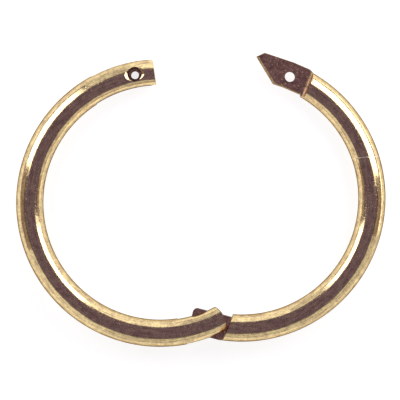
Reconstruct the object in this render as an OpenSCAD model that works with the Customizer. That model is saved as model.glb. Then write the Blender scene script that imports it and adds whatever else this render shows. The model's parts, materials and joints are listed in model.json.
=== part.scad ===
// Hinged nose ring for cattle: two half rings of round bar, riveted together at one end.
// The slotted arm is saw-cut at both ends. The bladed arm is milled flat at both ends, and its
// blade goes into the slot of the other arm, where a screw locks the two together.
// The ring lies flat and part open. The origin is under the middle of the open ring, on the surface
// that it lies on. +Z is the ring's axis, the hinge is towards -Y and the mouth towards +Y.

/* [Ring] */
// Outside diameter of the slotted arm
ring_outer_d = 76.2; // [70:0.1:90]
// Diameter of the round bar
bar_d = 7.2; // [6.8:0.1:8]
// Angle by which the ring stands open
open_angle = 34.7; // [20:0.1:60]
// How far past a half ring the slotted arm reaches at each end, in degrees
reach_over = 5.3; // [2:0.1:8]
// How far short of a half ring the bladed arm stays at each end, in degrees
reach_under = 3.5; // [1:0.1:6]

/* [Flats and slots] */
// Thickness of the blade and of the hinge tongue
flat_t = 2.4; // [2:0.1:2.6]
// Width of the saw cuts that take them
slot_t = 2.6; // [2.6:0.1:3]

/* [Hinge] */
// Diameter of the rivet
rivet_d = 2.4; // [2:0.1:2.8]
// Running clearance round the rivet, on the radius
rivet_play = 0.05; // [0.03:0.01:0.1]
// Distance from the rivet to the tip of the ears
ear_reach = 4.4; // [4:0.1:5]
// Radius of the rounded end of the ears, seen from above
ear_round = 5.7; // [5.2:0.1:8]
// Depth of the hinge slot behind the rivet
hinge_slot_depth = 7.2; // [6.8:0.1:9]
// Distance from the rivet to the end of the tongue
tongue_reach = 4.9; // [4:0.1:5.2]
// How much is milled off the inner and the outer edge of the tongue
tongue_trim = [0.3, 0.2]; // [0.1:0.1:0.6]
// Radius of the corners of the tongue
tongue_corner = 1.3; // [0.6:0.1:1.6]
// Distance from the rivet to the shoulder of the bladed arm
hinge_shoulder = 5.1; // [5:0.1:6]
// Angle by which that shoulder is milled out of square
hinge_skew = 8; // [0:1:10]
// Radius that the cutter leaves at the foot of that shoulder
hinge_foot_r = 0.3; // [0.2:0.1:0.4]

/* [Lock] */
// Distance from the screw hole to the end face of the slotted arm
lock_end = 5.2; // [4.8:0.1:5.4]
// Angle by which that end is sawn out of square
lock_skew = 3; // [0:0.5:5]
// Depth of the blade slot behind the screw hole
lock_slot_depth = 11.4; // [10.8:0.1:13]
// Width and depth of the bevel that leads the blade into its slot
lead_in = [0.5, 1.6]; // [0.5:0.1:1.8]
// Distance from the screw hole to the shoulder of the blade
blade_shoulder = 5.6; // [5.6:0.1:6.4]
// Radius that the cutter leaves at the foot of that shoulder
blade_foot_r = 1.2; // [0.8:0.1:1.3]
// Clearance hole for the shank of the screw
screw_clear_d = 2.7; // [2.6:0.05:3]
// Tapped hole in the back ear, at the crests of its thread
screw_tap_d = 2.1; // [2:0.05:2.2]
// Seat for the head of the screw
head_seat_d = 3.8; // [3.6:0.1:4.4]
// Depth of that seat below the crest of the bar
head_seat_depth = 1.2; // [0.9:0.1:1.4]
// Width and depth of the countersink round its mouth
head_bevel = [0.7, 0.4]; // [0.2:0.1:0.8]

/* [Blade] */
// How far the middle of the blade lies outside its screw hole
blade_shift = 0.2; // [0:0.1:0.4]
// How far the point reaches past the screw hole
point_reach = 10.2; // [8:0.1:10.6]
// How far outside the hole's line the point lies
point_offset = 1.7; // [0:0.1:2]
// Where the cutting edge starts on the inner side, past the screw hole
heel_reach = 3.4; // [3:0.1:5]
// Where the short back edge starts on the outer side, past the screw hole
back_reach = 8.7; // [7:0.1:9]
// Width of the ground bevel along the edges
edge_bevel = 0.8; // [0.4:0.05:1.2]
// Flat land left on the edge
edge_land = 0.3; // [0.2:0.1:1]

/* [Hidden] */
bar_r = bar_d / 2;
rivet_r = rivet_d / 2;
// Centre-line radius of each arm, and the distance from the rivet to the screw hole in both
slotted_r = (ring_outer_d - bar_d) / 2;
span = 2 * slotted_r * cos(reach_over);
bladed_r = span / 2 / cos(reach_under);
// Centres of the two arms seen from the rivet, and the turn that sets them level
slotted_centre = turned([-slotted_r * sin(reach_over), span / 2], open_angle / 2);
bladed_centre = turned([-bladed_r * sin(reach_under), span / 2], -open_angle / 2);
centre_line = bladed_centre - slotted_centre;
level = atan2(centre_line.y, centre_line.x);
// Outline of the blade's end: heel, point and back, as [outwards, along the bar]
heel = [blade_shift - bar_r, heel_reach];
point = [point_offset, point_reach];
back = [bar_r - 0.2, back_reach];
// The straight flats start this far short of their shoulders, and the bent bar ends further on
flat_start = 0.7;
bend_end = 1.1;
// Longer than any cut has to be
over = 12;
$fn = 96;

function turned(p, angle) = [p.x * cos(angle) - p.y * sin(angle), p.x * sin(angle) + p.y * cos(angle)];

// Swings an arm, drawn about the rivet with its hole straight above, into its place in the open ring
module swung(angle) {
    middle = (slotted_centre + bladed_centre) / 2;
    rotate([0, 0, -level]) translate([-middle.x, -middle.y, bar_r]) rotate([0, 0, angle]) children();
}

// Puts children at the rivet of an arm on the +X side: +X outwards and +Y along the bar, into the arm
module at_rivet(tilt) {
    rotate([0, 0, -90 + tilt]) children();
}

// The same at the screw hole, with +Y along the bar, out of the arm
module at_hole(tilt) {
    translate([0, span, 0]) rotate([0, 0, 90 - tilt]) children();
}

// Round bar on the +X side, bent round from the rivet to the screw hole and past them by two lengths
module bent_bar(radius, tilt, past_rivet, past_hole) {
    degree = radius * PI / 180;
    low = tilt - 90 - past_rivet / degree;
    high = 90 - tilt + past_hole / degree;
    translate([-radius * sin(tilt), span / 2, 0])
        rotate([0, 0, low])
            rotate_extrude(angle = high - low, $fn = 180)
                translate([radius, 0]) circle(r = bar_r, $fn = 72);
}

// Straight round bar, from low to high along +Y
module straight_bar(low, high) {
    translate([0, low, 0]) rotate([-90, 0, 0]) cylinder(r = bar_r, h = high - low, $fn = 72);
}

// A cut right across the bar, from low to high along it and from bottom to top in height
module cross_cut(low, high, bottom = -over, top = over) {
    translate([-over, low, bottom]) cube([2 * over, high - low, top - bottom]);
}

// Mills both faces flat on the +Y side of a shoulder, with a rounded foot below it
module milled_flat(shoulder, foot_r) {
    for (face = [0, 1])
        mirror([0, 0, face])
            translate([0, shoulder + foot_r, flat_t / 2])
                rotate([90, 0, 90])
                    linear_extrude(height = 2 * over, center = true) {
                        square([3 * over, over]);
                        translate([-foot_r, foot_r]) square([2 * foot_r, over]);
                        translate([0, foot_r]) circle(r = foot_r);
                    }
}

// Bevels one edge of the blade on both faces. The edge runs from a to b, with the waste to its left.
module edge_grind(a, b) {
    along = b - a;
    slope = atan2((flat_t - edge_land) / 2, edge_bevel);
    for (face = [0, 1])
        mirror([0, 0, face])
            translate([a.x, a.y, edge_land / 2])
                rotate([0, 0, atan2(along.y, along.x)])
                    rotate([-slope, 0, 0])
                        translate([-over, -over, 0]) cube([norm(along) + 2 * over, 2 * over, over]);
}

// What is cut away past the rounded end of the ears
module ear_waste() {
    difference() {
        cross_cut(-2 * over, ear_round - ear_reach);
        translate([0, ear_round - ear_reach, -2 * over]) cylinder(r = ear_round, h = 4 * over);
    }
}

// What is cut away round the tongue: past its end, along both edges and at its two corners
module tongue_waste() {
    inner = tongue_trim[0] - bar_r;
    outer = bar_r - tongue_trim[1];
    cross_cut(-2 * over, -tongue_reach);
    for (edge = [inner - over, outer])
        translate([edge, -over, -over]) cube([over, over + hinge_shoulder - bend_end, 2 * over]);
    tongue_corner_waste(inner + tongue_corner, -1);
    tongue_corner_waste(outer - tongue_corner, 1);
}

// One corner of that, round a centre at x and away from it in the given sense
module tongue_corner_waste(x, sense) {
    translate([x, tongue_corner - tongue_reach, -over])
        difference() {
            translate([sense < 0 ? -over : 0, -over, 0]) cube([over, over, 2 * over]);
            translate([0, 0, -over]) cylinder(r = tongue_corner, h = 4 * over);
        }
}

// The blade slot and the bevel that widens its mouth
module lock_slot() {
    lead_w = lead_in[0];
    lead_depth = lead_in[1];
    cross_cut(-lock_slot_depth, over, -slot_t / 2, slot_t / 2);
    for (face = [0, 1])
        mirror([0, 0, face])
            rotate([90, 0, 90])
                linear_extrude(height = 2 * over, center = true)
                    polygon([[lock_end - lead_depth, 0],
                             [lock_end - lead_depth, slot_t / 2],
                             [lock_end + lead_depth, slot_t / 2 + 2 * lead_w],
                             [lock_end + lead_depth, 0]]);
}

// The screw's way through the two ears at the lock: seat, clearance hole and tapped hole
module screw_way() {
    cylinder(d = screw_clear_d, h = over);
    translate([0, 0, -over]) cylinder(d = screw_tap_d, h = over);
    translate([0, 0, bar_r - head_seat_depth]) cylinder(d = head_seat_d, h = over);
    translate([0, 0, bar_r - head_bevel.y])
        cylinder(d1 = head_seat_d, d2 = head_seat_d + 4 * head_bevel.x, h = 2 * head_bevel.y);
}

// What is cut away past the blade's pointed outline
module blade_waste() {
    linear_extrude(height = 2 * over, center = true)
        polygon([heel + 0.3 * (heel - point), point, back + (back - point),
                 [over, 2 * over], [-over, 2 * over]]);
}

module upright_hole(radius) {
    translate([0, 0, -over]) cylinder(r = radius, h = 2 * over);
}

module slotted_arm() {
    color("goldenrod")
        mirror([1, 0, 0])
            difference() {
                bent_bar(slotted_r, -reach_over, ear_reach + 1, lock_end + 1);
                at_hole(-reach_over) {
                    translate([0, lock_end, 0]) rotate([0, 0, lock_skew]) cross_cut(0, over);
                    lock_slot();
                    screw_way();
                }
                at_rivet(-reach_over) {
                    ear_waste();
                    cross_cut(-over, hinge_slot_depth, -slot_t / 2, slot_t / 2);
                    upright_hole(rivet_r);
                }
            }
}

module bladed_arm() {
    color("darkgoldenrod")
        difference() {
            union() {
                bent_bar(bladed_r, reach_under, bend_end - hinge_shoulder, bend_end - blade_shoulder);
                at_rivet(reach_under) straight_bar(-tongue_reach - 1, hinge_shoulder - flat_start);
                at_hole(reach_under)
                    translate([blade_shift, 0, 0]) straight_bar(flat_start - blade_shoulder, point_reach + 1);
            }
            at_hole(reach_under) milled_flat(-blade_shoulder, blade_foot_r);
            at_hole(reach_under) blade_waste();
            at_hole(reach_under) edge_grind(heel, point);
            at_hole(reach_under) edge_grind(point, back);
            at_hole(reach_under) upright_hole(screw_clear_d / 2);
            at_rivet(reach_under)
                translate([0, hinge_shoulder, 0])
                    rotate([0, 0, 180 - hinge_skew]) milled_flat(0, hinge_foot_r);
            at_rivet(reach_under) tongue_waste();
            at_rivet(reach_under) upright_hole(rivet_r + rivet_play);
        }
}

// The rivet is filed flush, so its ends follow the round of the bar
module hinge_rivet() {
    color("gold")
        mirror([1, 0, 0])
            intersection() {
                bent_bar(slotted_r, -reach_over, ear_reach + 1, lock_end + 1);
                upright_hole(rivet_r);
            }
}

swung(open_angle / 2) slotted_arm();
swung(-open_angle / 2) bladed_arm();
swung(open_angle / 2) hinge_rivet();
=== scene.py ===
import json
import math

import bmesh
import bpy
from mathutils import Matrix, Vector


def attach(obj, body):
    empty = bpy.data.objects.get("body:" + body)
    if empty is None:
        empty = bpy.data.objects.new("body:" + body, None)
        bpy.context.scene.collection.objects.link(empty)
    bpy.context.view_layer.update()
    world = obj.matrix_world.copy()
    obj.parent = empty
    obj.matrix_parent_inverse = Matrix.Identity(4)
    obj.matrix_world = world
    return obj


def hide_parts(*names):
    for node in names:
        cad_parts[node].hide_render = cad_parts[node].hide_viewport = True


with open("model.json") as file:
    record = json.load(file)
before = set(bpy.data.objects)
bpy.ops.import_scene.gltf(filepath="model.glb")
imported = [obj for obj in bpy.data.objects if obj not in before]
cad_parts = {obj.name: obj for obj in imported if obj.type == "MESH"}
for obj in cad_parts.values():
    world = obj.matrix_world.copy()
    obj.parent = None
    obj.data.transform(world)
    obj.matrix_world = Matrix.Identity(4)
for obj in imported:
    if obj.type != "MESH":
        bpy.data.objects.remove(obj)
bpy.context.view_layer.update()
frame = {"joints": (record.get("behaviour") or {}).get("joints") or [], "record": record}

mm = 0.001
degree = math.pi / 180


def mountPlace(name):
    for mount in frame["record"]["mounts"]:
        if mount["name"] == name:
            return Vector(mount["pos_m"])
    raise ValueError(name)


rivetPlace = Vector(frame["joints"][0]["pos_m"])
lockPlace = mountPlace("lock_screw_way")
bladeHolePlace = mountPlace("blade_screw_hole")
lockPlace.z = bladeHolePlace.z = rivetPlace.z

bar = {
    "radius": rivetPlace.z,     # the ring lies on the floor, so its middle is a bar radius up
    "aroundSteps": 96,
    "alongSteps": 260,
    "drillSteps": 64,
    "roundingSteps": 10,
    "flatThickness": 2.4 * mm,
    "slotWidth": 2.6 * mm,
    "longCut": 14 * mm,         # longer than any cut has to be
    "edgeWidth": 0.1 * mm,      # of the small radius on every edge
    "edgeFrom": 30 * degree,    # edges sharper than this get one
    "creaseFrom": 45 * degree,  # and sharper than this are shaded as creases
    "edgeSteps": 2,
    "nearEdge": 1.1,            # vertices this many edge widths from one are welded onto it
    "weld": 0.004 * mm,
    "sliver": 0.002 * mm,
}
print("frame read: bar radius", bar["radius"], "rivet at", list(rivetPlace))


def setOut(arm, hole):
    # Each arm is drawn with the rivet at the origin, its screw hole straight up +Y, bulging to +X.
    # This adds its bend, its place, and the frames at both holes, with +Y towards that end.
    chord = hole - rivetPlace
    arm["span"] = chord.length
    arm["bend"] = chord.length / 2 / math.cos(arm["tilt"])
    arm["bendCentre"] = Vector((-arm["bend"] * math.sin(arm["tilt"]), chord.length / 2, 0))
    turn = math.atan2(chord.y, chord.x) - math.pi / 2
    arm["place"] = Matrix.Translation(rivetPlace) @ Matrix.Rotation(turn, 4, "Z")
    if arm["mirrored"]:
        arm["place"] = arm["place"] @ Matrix.Scale(-1, 4, (1, 0, 0))
    arm["atRivet"] = Matrix.Rotation(arm["tilt"] - math.pi / 2, 4, "Z")
    arm["atHole"] = (Matrix.Translation((0, arm["span"], 0))
                     @ Matrix.Rotation(math.pi / 2 - arm["tilt"], 4, "Z"))
    return arm


class Wire:
    # wraps a socket, so that sums on it add Math nodes
    def __init__(self, finish, socket):
        self.finish = finish
        self.socket = socket

    def sum(self, operation, first, second):
        return self.finish.node("ShaderNodeMath", {"operation": operation}, {0: first, 1: second})

    def __add__(self, other):
        return self.sum("ADD", self, other)

    def __radd__(self, other):
        return self.sum("ADD", other, self)

    def __sub__(self, other):
        return self.sum("SUBTRACT", self, other)

    def __rsub__(self, other):
        return self.sum("SUBTRACT", other, self)

    def __mul__(self, other):
        return self.sum("MULTIPLY", self, other)

    def __rmul__(self, other):
        return self.sum("MULTIPLY", other, self)

    def __truediv__(self, other):
        return self.sum("DIVIDE", self, other)

    def __rtruediv__(self, other):
        return self.sum("DIVIDE", other, self)


class Finish:
    # a material and the one method that adds its nodes
    def __init__(self, name):
        self.material = bpy.data.materials.new(name)
        self.material.use_nodes = True
        self.tree = self.material.node_tree
        self.shader = self.tree.nodes["Principled BSDF"]
        self.place = self.node("ShaderNodeTexCoord", {}, {}, "Object")

    def feed(self, socket, value):
        if isinstance(value, Wire):
            self.tree.links.new(value.socket, socket)
        elif socket.type == "RGBA":
            socket.default_value = (*value, 1)
        else:
            socket.default_value = value

    def node(self, kind, settings, values, output=0):
        new = self.tree.nodes.new(kind)
        for name, value in settings.items():
            if name == "stops":
                for stop, (position, shade) in zip(new.color_ramp.elements, value):
                    stop.position = position
                    stop.color = (shade, shade, shade, 1)
            else:
                setattr(new, name, value)
        for name, value in values.items():
            self.feed(new.inputs[name], value)
        return Wire(self, new.outputs[output])

    def axis(self, vector, which):
        return self.node("ShaderNodeSeparateXYZ", {}, {0: vector}, which)

    def noise(self, place, scale, detail=3.0, roughness=0.55):
        return self.node("ShaderNodeTexNoise", {}, {"Vector": place, "Scale": scale,
                                                    "Detail": detail, "Roughness": roughness})

    def ramp(self, value, stops):
        return self.node("ShaderNodeValToRGB", {"stops": stops}, {"Fac": value})

    def mix(self, amount, first, second):
        # sockets 6 and 7 are the colours of a Mix node set to RGBA, and output 2 its colour
        return self.node("ShaderNodeMix", {"data_type": "RGBA"},
                         {0: amount, 6: first, 7: second}, 2)

    def bump(self, height, distance):
        return self.node("ShaderNodeBump", {},
                         {"Height": height, "Distance": distance, "Strength": 1.0})

    def set(self, **values):
        for name, value in values.items():
            self.feed(self.shader.inputs[name.replace("_", " ")], value)
        return self.material


def alongBar(finish, arm):
    # coordinates that follow the bend: along it, across it and up, in metres
    centre = arm["place"] @ arm["bendCentre"]
    apart = finish.node("ShaderNodeMapping", {}, {"Vector": finish.place, "Location": -centre})
    x, y, z = (finish.axis(apart, which) for which in range(3))
    angle = finish.node("ShaderNodeMath", {"operation": "ARCTAN2"}, {0: y, 1: x})
    level = finish.node("ShaderNodeMath", {"operation": "SQRT"}, {0: x * x + y * y})
    return finish.node("ShaderNodeCombineXYZ", {}, {0: angle * arm["bend"], 1: level, 2: z})


brass = {
    "bright": (1.00, 0.80, 0.42),
    "dull": (0.52, 0.37, 0.23),
    "tarnish": (0.90, 0.60, 0.36),
    "stain": (0.42, 0.24, 0.17),
    "shade": (0.26, 0.18, 0.10),
    "grime": (0.12, 0.06, 0.05),
    "paintedRimShade": (0.16, 0.10, 0.07),      # tint at a glancing angle, set dark to paint shade along the bar's outline
    "polishedRoughness": 0.06,
    "polishedBump": 0.006 * mm,
    "workedBump": 0.03 * mm,
    "markWidth": 0.16 * mm,
    # noise scales, in cells per metre; a row of three is along, across and up
    "hairlines": (260, 3200, 3200),
    "cloud": 620,
    "grain": 1500,
    "specks": 2600,
    "dust": 3300,
    "handwork": 130,
    "stainCloud": 1000,
    "blotches": 420,
    "pits": 1700,
    "scuffs": 2400,
    # worked faces: fresh shade, stained shade, roughness, and the scale of the cutter's marks
    "sawn": ("dull", "stain", 0.22, (400, 9000, 400)),
    "drilled": ("stain", "grime", 0.2, (900, 900, 9000)),
    "milled": ("tarnish", "stain", 0.12, (5200, 500, 400)),
    "foot": ("shade", "stain", 0.36, (400, 6000, 6000)),
    "ground": ("dull", "shade", 0.22, (900, 6000, 400)),
}


def toolMark(finish, along, arm):
    # a thin slanting line across the bar: 1 on it, 0 away from it
    length, level = finish.axis(along, 0), finish.axis(along, 1)
    start, slant = arm["mark"]
    line = length - start * arm["bend"] - slant * (level - arm["bend"])
    away = finish.node("ShaderNodeMath", {"operation": "ABSOLUTE"}, {0: line / brass["markWidth"]})
    return finish.ramp(away, [(0.35, 1.0), (1.0, 0.0)])


def polishedBrass(name, arm):
    # the round of the bar: hairlines along it, small dents, and a film that is thicker in places
    finish = Finish(name)
    along = alongBar(finish, arm)
    lines = finish.node("ShaderNodeMapping", {}, {"Vector": along, "Scale": brass["hairlines"]})
    hairlines = finish.noise(lines, 1.0, 2.0)
    cloud = finish.noise(finish.place, brass["cloud"], 3.0, 0.6)
    grain = finish.noise(finish.place, brass["grain"], 2.0, 0.7)
    specks = finish.noise(finish.place, brass["specks"])
    dust = finish.noise(finish.place, brass["dust"], 2.0, 0.6)
    film = finish.ramp(cloud * 0.3 + grain * 0.25 + hairlines * 0.45, [(0.42, 0.0), (0.60, 1.0)])
    spots = finish.ramp(specks, [(0.58, 0.0), (0.68, 1.0)])
    dulled = finish.ramp(dust, [(0.56, 0.0), (0.72, 1.0)])
    mark = toolMark(finish, along, arm)
    colour = finish.mix(film, brass["bright"], brass["dull"])
    colour = finish.mix(spots * 0.6, colour, brass["stain"])
    colour = finish.mix(mark * 0.5, colour, arm["markShade"])
    # the bar was polished by hand, so it isn't quite true
    handwork = finish.noise(finish.place, brass["handwork"], 2.0)
    height = hairlines * 0.4 + grain * 1.5 + specks * 0.3 + handwork * 9.0 - mark * 2.0
    worn = film * 0.06 + spots * 0.12 + dulled * 0.28 + mark * 0.3
    return finish.set(
        Base_Color=colour,
        Metallic=1.0,
        # the dark tint at a glancing angle paints shade along the bar's outline
        Specular_Tint=brass["paintedRimShade"],
        Roughness=brass["polishedRoughness"] + worn,
        Normal=finish.bump(height, brass["polishedBump"]),
    )


def workedBrass(work, arm):
    # milled, sawn or drilled faces: cutter marks, and tarnish that polishing never reached
    fresh, stained, roughness, markScale = brass[work]
    finish = Finish(work + arm["name"])
    along = alongBar(finish, arm)
    lines = finish.node("ShaderNodeMapping", {}, {"Vector": along, "Scale": markScale})
    marks = finish.noise(lines, 1.0, 2.0)
    cloud = finish.noise(finish.place, brass["stainCloud"], 4.0, 0.65)
    blotches = finish.noise(finish.place, brass["blotches"])
    stain = finish.ramp(cloud * 0.5 + blotches * 0.3 + marks * 0.2, [(0.43, 0.0), (0.58, 1.0)])
    pits = finish.noise(finish.place, brass["pits"], 2.0)
    pits = finish.ramp(pits, [(0.58, 0.0), (0.68, 1.0)])
    scuffs = finish.noise(finish.place, brass["scuffs"], 2.0)
    scuffs = finish.ramp(scuffs, [(0.56, 0.0), (0.74, 1.0)])
    colour = finish.mix(stain, brass[fresh], brass[stained])
    colour = finish.mix(pits * 0.6, colour, brass["grime"])
    colour = finish.mix(scuffs * 0.5, colour, brass["bright"])
    return finish.set(
        Base_Color=colour,
        Metallic=1.0,
        # the dark tint at a glancing angle paints shade along the outline of the worked faces
        Specular_Tint=brass["paintedRimShade"],
        Roughness=roughness + stain * 0.08 + pits * 0.15 + scuffs * 0.25,
        Normal=finish.bump(marks * 0.6 + cloud * 1.6 + blotches * 2.2, brass["workedBump"]),
    )


def newObject(name, mesh, materials=()):
    made = bpy.data.objects.new(name, mesh)
    bpy.context.scene.collection.objects.link(made)
    for material in materials:
        mesh.materials.append(material)
    return made


def meshOf(name, bm, matrix=None):
    if matrix is not None:
        bmesh.ops.transform(bm, matrix=matrix, verts=bm.verts)
    bmesh.ops.recalc_face_normals(bm, faces=bm.faces)
    mesh = bpy.data.meshes.new(name)
    bm.to_mesh(mesh)
    bm.free()
    return mesh


def ofKind(items, kind):
    return [item for item in items if isinstance(item, kind)]


def sectionAt(matrix):
    # stands a circle drawn flat across the bar
    return matrix @ Matrix.Rotation(math.pi / 2, 4, "X")


def bentBar(arm, name):
    # the courses are the straight ends beyond the bend: steps of (along the bar, outwards)
    bm = bmesh.new()
    bmesh.ops.create_circle(bm, cap_ends=False, radius=bar["radius"], segments=bar["aroundSteps"])
    start = arm["tilt"] - math.pi / 2 - arm["pastRivet"] / arm["bend"]
    sweep = math.pi - 2 * arm["tilt"] + (arm["pastRivet"] + arm["pastHole"]) / arm["bend"]

    def onBend(angle):
        return sectionAt(Matrix.Translation(arm["bendCentre"]) @ Matrix.Rotation(angle, 4, "Z")
                         @ Matrix.Translation((arm["bend"], 0, 0)))

    bmesh.ops.transform(bm, matrix=onBend(start), verts=bm.verts)
    first = bm.edges[:]
    spun = bmesh.ops.spin(bm, geom=first, cent=arm["bendCentre"], axis=(0, 0, 1), angle=sweep,
                          steps=bar["alongSteps"])
    last = ofKind(spun["geom_last"], bmesh.types.BMEdge)
    for ring, place, frameThere, course in (
            (first, onBend(start), arm["atRivet"], arm["rivetCourse"]),
            (last, onBend(start + sweep), arm["atHole"], arm["holeCourse"])):
        for along, outwards in course:
            target = sectionAt(frameThere @ Matrix.Translation((outwards, along, 0)))
            grown = bmesh.ops.extrude_edge_only(bm, edges=ring)["geom"]
            verts = ofKind(grown, bmesh.types.BMVert)
            bmesh.ops.transform(bm, matrix=target @ place.inverted(), verts=verts)
            ring = [edge for edge in ofKind(grown, bmesh.types.BMEdge)
                    if edge.verts[0] in verts and edge.verts[1] in verts]
            place = target
    bmesh.ops.holes_fill(bm, edges=[edge for edge in bm.edges if edge.is_boundary], sides=0)
    return meshOf(name, bm)


def blockBetween(low, high, matrix, rounding=None):
    # a box cutter; rounding = (test of an edge's two ends, radius) rounds the edges it picks
    bm = bmesh.new()
    bmesh.ops.create_cube(bm, size=1)
    low, high = Vector(low), Vector(high)
    bmesh.ops.scale(bm, vec=high - low, verts=bm.verts)
    bmesh.ops.translate(bm, vec=(low + high) / 2, verts=bm.verts)
    if rounding:
        picks, radius = rounding
        picked = [edge for edge in bm.edges if picks(edge.verts[0].co, edge.verts[1].co)]
        bmesh.ops.bevel(bm, geom=picked, offset=radius, segments=bar["roundingSteps"], profile=0.5,
                        affect="EDGES", material=1)
    return meshOf("cutter", bm, matrix)


def drill(radius, low, high, matrix, topRadius=None):
    bm = bmesh.new()
    bmesh.ops.create_cone(bm, cap_ends=True, segments=bar["drillSteps"], radius1=radius,
                          radius2=radius if topRadius is None else topRadius, depth=high - low)
    bmesh.ops.translate(bm, vec=(0, 0, (low + high) / 2), verts=bm.verts)
    return meshOf("cutter", bm, matrix)


def prism(outline, halfHeight, matrix):
    bm = bmesh.new()
    face = bm.faces.new([bm.verts.new((x, y, -halfHeight)) for x, y in outline])
    up = bmesh.ops.extrude_face_region(bm, geom=[face])
    bmesh.ops.translate(bm, vec=(0, 0, 2 * halfHeight),
                        verts=ofKind(up["geom"], bmesh.types.BMVert))
    return meshOf("cutter", bm, matrix)


def combine(made, cutters, operation="DIFFERENCE"):
    # cuts the object by each (mesh, materials) in turn; the cut faces take the cutter's materials
    tools = []
    for mesh, *materials in cutters:
        tool = newObject("cutter", mesh, materials)
        tools.append(tool)
        cut = made.modifiers.new("cut", "BOOLEAN")
        cut.operation = operation
        cut.solver = "EXACT"
        cut.material_mode = "TRANSFER"
        cut.object = tool
    graph = bpy.context.evaluated_depsgraph_get()
    mesh = bpy.data.meshes.new_from_object(made.evaluated_get(graph))
    made.modifiers.clear()
    made.data = mesh
    for tool in tools:
        bpy.data.objects.remove(tool)


def finishEdges(made):
    # breaks every sharp edge by a small polished radius
    width = bar["edgeWidth"]
    bm = bmesh.new()
    bm.from_mesh(made.data)
    bmesh.ops.remove_doubles(bm, verts=bm.verts, dist=bar["weld"])
    bmesh.ops.dissolve_degenerate(bm, edges=bm.edges, dist=bar["sliver"])

    def sharpEdges():
        return [edge for edge in bm.edges
                if len(edge.link_faces) == 2 and edge.calc_face_angle(0) > bar["edgeFrom"]]

    # a vertex too near a sharp edge would leave no room for the radius
    onSharp = list({vert for edge in sharpEdges() for vert in edge.verts})
    near = bmesh.ops.find_doubles(bm, verts=bm.verts, keep_verts=onSharp,
                                  dist=bar["nearEdge"] * width)
    bmesh.ops.weld_verts(bm, targetmap=near["targetmap"])
    bmesh.ops.dissolve_degenerate(bm, edges=bm.edges, dist=bar["sliver"])
    bmesh.ops.bevel(bm, geom=sharpEdges(), offset=width, offset_type="OFFSET",
                    segments=bar["edgeSteps"], profile=0.5, affect="EDGES", clamp_overlap=True,
                    material=0)
    bm.to_mesh(made.data)
    bm.free()


def placePiece(made, arm, body, node):
    bm = bmesh.new()
    bm.from_mesh(made.data)
    bmesh.ops.transform(bm, matrix=arm["place"], verts=bm.verts)
    if arm["mirrored"]:
        bmesh.ops.reverse_faces(bm, faces=bm.faces)
    bm.to_mesh(made.data)
    bm.free()
    made.data.shade_smooth()
    made.data.set_sharp_from_angle(angle=bar["creaseFrom"])
    level = made.modifiers.new("evenShading", "WEIGHTED_NORMAL")
    level.keep_sharp = True
    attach(made, body)
    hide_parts(node)
    print(made.name + ":", len(made.data.polygons), "faces")


slotted = setOut({
    "name": "Slotted",
    "mirrored": True,
    "tilt": -5.3 * degree,      # what the bend stops short of a half ring at each end
    "pastRivet": 5.5 * mm,
    "pastHole": 6.3 * mm,
    "rivetCourse": [],
    "holeCourse": [],
    "mark": (190.5 * degree, -0.15),
    "markShade": (0.12, 0.06, 0.05),
    "earReach": 4.4 * mm,
    "earRound": 5.7 * mm,
    "earSteps": 48,
    "hingeSlotDepth": 7.2 * mm,
    "lockEnd": 5.2 * mm,
    "lockSkew": 3 * degree,
    "lockSlotDepth": 11.4 * mm,
    "leadIn": (0.5 * mm, 1.6 * mm),
    "screwClear": 1.35 * mm,
    "screwTapped": 1.05 * mm,
    "seatRadius": 1.9 * mm,
    "seatDepth": 1.2 * mm,
    "seatBevel": (0.7 * mm, 0.4 * mm),
    "rivetRadius": 1.2 * mm,
}, lockPlace)


def makeSlottedArm():
    arm, reach = slotted, bar["longCut"]
    polished = polishedBrass("polishedSlotted", arm)
    sawn, drilled = (workedBrass(work, arm) for work in ("sawn", "drilled"))
    made = newObject("slottedArm", bentBar(arm, "slottedArm"), [polished])
    half = bar["slotWidth"] / 2
    lead, depth = slotted["leadIn"]
    seatRadius = slotted["seatRadius"]
    seatFloor = bar["radius"] - slotted["seatDepth"]
    sinkWidth, sinkDepth = slotted["seatBevel"]
    atHole, atRivet = arm["atHole"], arm["atRivet"]
    end = (atHole @ Matrix.Translation((0, slotted["lockEnd"], 0))
           @ Matrix.Rotation(slotted["lockSkew"], 4, "Z"))
    # the lead-in is a wedge drawn in side view, along the bar and up
    mouth = slotted["lockEnd"] - depth
    sideways = atHole @ Matrix.Rotation(math.pi / 2, 4, "Z") @ Matrix.Rotation(math.pi / 2, 4, "X")
    wedge = prism([(mouth, -half), (mouth + 2 * depth, -half - 2 * lead),
                   (mouth + 2 * depth, half + 2 * lead), (mouth, half)], reach, sideways)
    combine(made, [
        (blockBetween((-reach, 0, -reach), (reach, reach, reach), end), sawn),
        (blockBetween((-reach, -slotted["lockSlotDepth"], -half), (reach, reach, half), atHole),
         sawn),
        (wedge, sawn),
        (drill(slotted["screwClear"], 0, reach, atHole), drilled),
        (drill(slotted["screwTapped"], -reach, 0, atHole), drilled),
        (drill(seatRadius, seatFloor, reach, atHole), drilled),
        (drill(seatRadius, bar["radius"] - sinkDepth, bar["radius"] + sinkDepth, atHole,
               seatRadius + 2 * sinkWidth), polished),
        (blockBetween((-reach, -reach, -half), (reach, slotted["hingeSlotDepth"], half), atRivet),
         drilled),
        (earWaste(atRivet), drilled),
    ])
    finishEdges(made)
    combine(made, [(drill(slotted["rivetRadius"], -reach, reach, atRivet), drilled)])
    placePiece(made, arm, "slotted_half", "slotted_arm")


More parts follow.
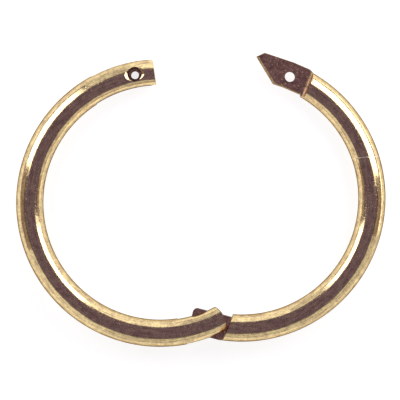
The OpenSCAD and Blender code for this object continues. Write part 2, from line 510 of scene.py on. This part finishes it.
def earWaste(matrix):
    # everything past the rounded end of the ears: a rectangle spun half way round
    bm = bmesh.new()
    reach, inner = bar["longCut"], slotted["earRound"]
    back = slotted["earRound"] - slotted["earReach"]
    upright = Matrix.Rotation(math.pi / 2, 3, "X")
    bmesh.ops.create_grid(bm, x_segments=1, y_segments=1, size=0.5)
    bmesh.ops.scale(bm, vec=(reach - inner, 2 * reach, 1), verts=bm.verts)
    bmesh.ops.rotate(bm, cent=(0, 0, 0), matrix=upright, verts=bm.verts)
    bmesh.ops.translate(bm, vec=(-(reach + inner) / 2, 0, 0), verts=bm.verts)
    bmesh.ops.spin(bm, geom=bm.faces[:], cent=(0, 0, 0), axis=(0, 0, 1), angle=math.pi,
                   steps=slotted["earSteps"])
    bmesh.ops.translate(bm, vec=(0, back, 0), verts=bm.verts)
    return meshOf("cutter", bm, matrix)


bladed = setOut({
    "name": "Bladed",
    "mirrored": False,
    "tilt": 3.5 * degree,
    "pastRivet": -4.1 * mm,
    "pastHole": -5.0 * mm,
    "rivetCourse": [(3.4 * mm, 0), (-6 * mm, 0)],
    "holeCourse": [(-4.3 * mm, 0.2 * mm), (0.5 * mm, 0.35 * mm), (11.2 * mm, -0.25 * mm)],
    "mark": (14.8 * degree, -0.22),
    "markShade": (1.00, 0.92, 0.80),
    "bladeShoulder": 5.6 * mm,
    "bladeFoot": 1.15 * mm,
    "hingeShoulder": 5.1 * mm,
    "hingeSkew": 8 * degree,
    "hingeFoot": 0.3 * mm,
    "tongueReach": 4.9 * mm,
    "tongueCorner": 1.3 * mm,
    "tongueTrim": (0.3 * mm, 0.2 * mm),
    "tongueStart": 0.15 * mm,   # how far from the shoulder its sides are milled
    "screwClear": 1.35 * mm,
    "rivetClear": 1.25 * mm,
    "heel": (-3.45 * mm, 3.4 * mm),
    "point": (1.7 * mm, 10.2 * mm),
    "back": (3.3 * mm, 8.7 * mm),
    "edgeBevel": 0.5 * mm,
    "backBevel": 0.35 * mm,
    "edgeLand": 0.3 * mm,
}, bladeHolePlace)


def edgeGrind(start, end, width, face, matrix):
    # a block that bevels one edge of the blade on one face, with the waste to the left of the edge
    along = Vector(end) - Vector(start)
    slope = math.atan2((bar["flatThickness"] - bladed["edgeLand"]) / 2, width)
    lie = (Matrix.Scale(face, 4, (0, 0, 1)) @ Matrix.Translation((*start, bladed["edgeLand"] / 2))
           @ Matrix.Rotation(math.atan2(along.y, along.x), 4, "Z")
           @ Matrix.Rotation(-slope, 4, "X"))
    reach = bar["longCut"]
    return blockBetween((-reach, -reach, 0), (along.length + reach, reach, reach), matrix @ lie)


def millCut(shoulder, foot, face, matrix):
    # one pass of the mill: a block whose leading lower edge is rounded, so it leaves a rounded foot
    reach, level = bar["longCut"], bar["flatThickness"] / 2

    def leading(a, b):
        off = max(abs(a.y - shoulder), abs(b.y - shoulder), abs(a.z - level), abs(b.z - level))
        return off < bar["sliver"]

    return blockBetween((-reach, shoulder, level), (reach, 2 * reach, reach),
                        matrix @ Matrix.Scale(face, 4, (0, 0, 1)), (leading, foot))


def makeBladedArm():
    arm, reach = bladed, bar["longCut"]
    polished = polishedBrass("polishedBladed", arm)
    milled, foot, ground, drilled = (workedBrass(work, arm)
                                     for work in ("milled", "foot", "ground", "drilled"))
    made = newObject("bladedArm", bentBar(arm, "bladedArm"), [polished])
    atHole, atRivet = arm["atHole"], arm["atRivet"]
    towardsEnd = (atRivet @ Matrix.Translation((0, bladed["hingeShoulder"], 0))
                  @ Matrix.Rotation(math.pi - bladed["hingeSkew"], 4, "Z"))
    heel, point, back = (Vector(bladed[key]) for key in ("heel", "point", "back"))
    # the waste round the blade's two ground edges, drawn on past the bar
    outline = [heel + 0.3 * (heel - point), point, back + (back - point),
               Vector((reach, 2 * reach)), Vector((-reach, 2 * reach))]
    faces = (1, -1)
    cutters = [(millCut(-bladed["bladeShoulder"], bladed["bladeFoot"], face, atHole), milled, foot)
               for face in faces]
    cutters.append((prism(outline, reach, atHole), ground))
    for start, end, width in ((heel, point, bladed["edgeBevel"]),
                              (point, back, bladed["backBevel"])):
        cutters += [(edgeGrind(start, end, width, face, atHole), ground) for face in faces]
    cutters.append((drill(bladed["screwClear"], -reach, reach, atHole), drilled))
    cutters += [(millCut(0, bladed["hingeFoot"], face, towardsEnd), milled, foot) for face in faces]
    cutters.append((tongueWaste(atRivet, towardsEnd), milled))
    cutters.append((drill(bladed["rivetClear"], -reach, reach, atRivet), drilled))
    combine(made, cutters)
    finishEdges(made)
    placePiece(made, arm, "bladed_half", "bladed_arm")


def tongueWaste(atRivet, towardsEnd):
    # what is milled off round the tongue: a block, less the tongue with its two rounded corners
    reach = bar["longCut"]
    inner = bladed["tongueTrim"][0] - bar["radius"]
    outer = bar["radius"] - bladed["tongueTrim"][1]
    over = bar["flatThickness"] / 2 + 1 * mm

    def farUpright(a, b):
        return a.y < 0 and b.y < 0 and abs(a.x - b.x) + abs(a.y - b.y) < bar["sliver"]

    kept = newObject("kept", blockBetween((inner, -bladed["tongueReach"], -2 * reach),
                                          (outer, 2 * reach, 2 * reach), atRivet,
                                          (farUpright, bladed["tongueCorner"])))
    waste = newObject("waste", blockBetween((-reach, bladed["tongueStart"], -over),
                                            (reach, 2 * reach, over), towardsEnd))
    combine(waste, [(kept.data,)])
    mesh = waste.data
    bpy.data.objects.remove(kept)
    bpy.data.objects.remove(waste)
    return mesh


rivet = {
    "radius": slotted["rivetRadius"] - 0.004 * mm,
}


def makeRivet():
    # the rivet is filed flush, so it is the bar itself inside a thin cylinder
    arm, reach = slotted, bar["longCut"]
    polished = polishedBrass("polishedRivet", arm)
    made = newObject("hingeRivet", bentBar(arm, "hingeRivet"), [polished])
    combine(made, [(drill(rivet["radius"], -reach, reach, arm["atRivet"]),)], "INTERSECT")
    placePiece(made, arm, "slotted_half", "hinge_rivet")


makeSlottedArm()
makeBladedArm()
makeRivet()


studio = {
    "frameWidth": 105.77 * mm,  # width in view at the height of the bar's middle
    "distance": 570 * mm,
    "aim": (-0.26 * mm, 0.10 * mm),
    "roll": 3.38 * degree,
    "sensor": 36.0,
    "floorReach": 2700 * mm,
    "floorDrop": 0.02 * mm,
    "wallHeight": 420 * mm,
    "wallSteps": 96,
    "floorShade": 0.32,
    "floorGlow": 0.82,
    "ceiling": (0.16, 0.12, 0.20),
    "cloth": (1.0, 0.985, 0.96),
    "dimCloth": (1.0, 0.80, 0.74),
    "sideFade": 6 * degree,     # over which a soft box dims at its sides, to sideGlow of its glow
    "sideGlow": 0.2,
    "fadedSides": ("softboxLeft", "softboxRight"),
    "cardSteps": (12, 24),      # down a card and round it
    # curved cards round the ring: azimuths, angles from straight up, degrees over which the upper
    # edge fades in, distance, glow and cloth
    "cards": {
        "softboxLeft": (124, 165, 37, 75, 5, 240 * mm, 4.2, "cloth"),
        "softboxRight": (3, 57, 34, 75, 5, 240 * mm, 4.2, "cloth"),
        "cardFar": (57, 104, 42, 90, 6, 132 * mm, 1.15, "cloth"),
        "cardFarLeft": (104, 124, 42, 90, 6, 132 * mm, 0.72, "cloth"),
        "cardNearLeft": (195, 238, 54, 90, 6, 132 * mm, 0.86, "cloth"),
        "cardNearRight": (238, 342, 54, 90, 6, 132 * mm, 0.68, "cloth"),
        "cardLow": (345, 412, 84, 90, 1, 132 * mm, 2.4, "cloth"),
        "cardDimLeft": (163, 195, 54, 84, 8, 132 * mm, 0.34, "dimCloth"),
        "cardDimRight": (342, 365, 54, 84, 8, 132 * mm, 0.34, "dimCloth"),
    },
}


def makeFloor():
    # a pale floor, and a low round wall far off that closes the view from the side
    reach, wall, shade = studio["floorReach"], studio["wallHeight"], studio["floorShade"]
    bm = bmesh.new()
    bmesh.ops.create_cone(bm, cap_ends=False, segments=studio["wallSteps"], radius1=reach,
                          radius2=reach, depth=wall)
    bmesh.ops.translate(bm, vec=(0, 0, wall / 2), verts=bm.verts)
    bmesh.ops.create_grid(bm, x_segments=1, y_segments=1, size=1.1 * reach)
    bmesh.ops.translate(bm, vec=(0, 0, -studio["floorDrop"]), verts=bm.verts)
    pale = Finish("paleFloor").set(Base_Color=(shade, shade, shade), Roughness=0.9,
                                   Specular_IOR_Level=0.0, Emission_Color=(1, 1, 1),
                                   Emission_Strength=studio["floorGlow"])
    floor = newObject("floor", meshOf("floor", bm), [pale])
    print("floor laid")


def fadedCloth(name, start, end, high, fade, distance, glow, cloth):
    # the glow fades in below the upper edge, and a soft box also dims towards both sides
    finish = Finish(name)
    edge, lit = (math.cos(angle * degree) * distance for angle in (high, high + fade))
    lighting = finish.node("ShaderNodeMapRange", {}, {"Value": finish.axis(finish.place, 2),
                                                      "From Min": edge, "From Max": lit})
    if name in studio["fadedSides"]:
        half, middle = (end - start) / 2 * degree, (start + end) / 2 * degree
        turned = finish.node("ShaderNodeMapping", {}, {"Vector": finish.place,
                                                       "Rotation": (0, 0, -middle)})
        aside = finish.node("ShaderNodeMath", {"operation": "ARCTAN2"},
                            {0: finish.axis(turned, 1), 1: finish.axis(turned, 0)})
        offside = finish.node("ShaderNodeMath", {"operation": "ABSOLUTE"}, {0: aside})
        lighting = lighting * finish.node("ShaderNodeMapRange", {}, {
            "Value": offside, "From Min": half, "From Max": half - studio["sideFade"],
            "To Min": studio["sideGlow"], "To Max": 1.0})
    return finish.set(Base_Color=(0, 0, 0), Roughness=1.0, Specular_IOR_Level=0.0,
                      Emission_Color=finish.mix(lighting, (0, 0, 0), studio[cloth]),
                      Emission_Strength=glow)


def makeCards():
    for name, (start, end, high, low, fade, distance, glow, cloth) in studio["cards"].items():
        # a point at the card's upper corner, spun down its side, and that side spun round
        bm = bmesh.new()
        turn, lean = start * degree, high * degree
        downSteps, roundSteps = studio["cardSteps"]
        top = bm.verts.new((math.cos(turn) * math.sin(lean) * distance,
                            math.sin(turn) * math.sin(lean) * distance, math.cos(lean) * distance))
        bmesh.ops.spin(bm, geom=[top], cent=(0, 0, 0), axis=(-math.sin(turn), math.cos(turn), 0),
                       angle=(low - high) * degree, steps=downSteps)
        bmesh.ops.spin(bm, geom=bm.edges[:], cent=(0, 0, 0), axis=(0, 0, 1),
                       angle=(end - start) * degree, steps=roundSteps)
        card = newObject(name, meshOf(name, bm),
                         [fadedCloth(name, start, end, high, fade, distance, glow, cloth)])
        card.visible_camera = False
        card.visible_shadow = False
    print("cards hung:", len(studio["cards"]))


def makeRoom():
    world = bpy.data.worlds.new("room")
    bpy.context.scene.world = world
    world.use_nodes = True
    world.node_tree.nodes["Background"].inputs["Color"].default_value = (*studio["ceiling"], 1)


def makeCamera():
    lens = bpy.data.cameras.new("camera")
    lens.sensor_width = studio["sensor"]
    lens.lens = studio["sensor"] * studio["distance"] / studio["frameWidth"]
    camera = bpy.data.objects.new("camera", lens)
    camera.matrix_world = (Matrix.Translation((*studio["aim"], bar["radius"] + studio["distance"]))
                           @ Matrix.Rotation(-studio["roll"], 4, "Z"))
    bpy.context.scene.collection.objects.link(camera)
    bpy.context.scene.camera = camera


makeFloor()
makeCards()
makeRoom()
makeCamera()
bpy.context.scene.view_settings.view_transform = "Standard"
print("studio ready")
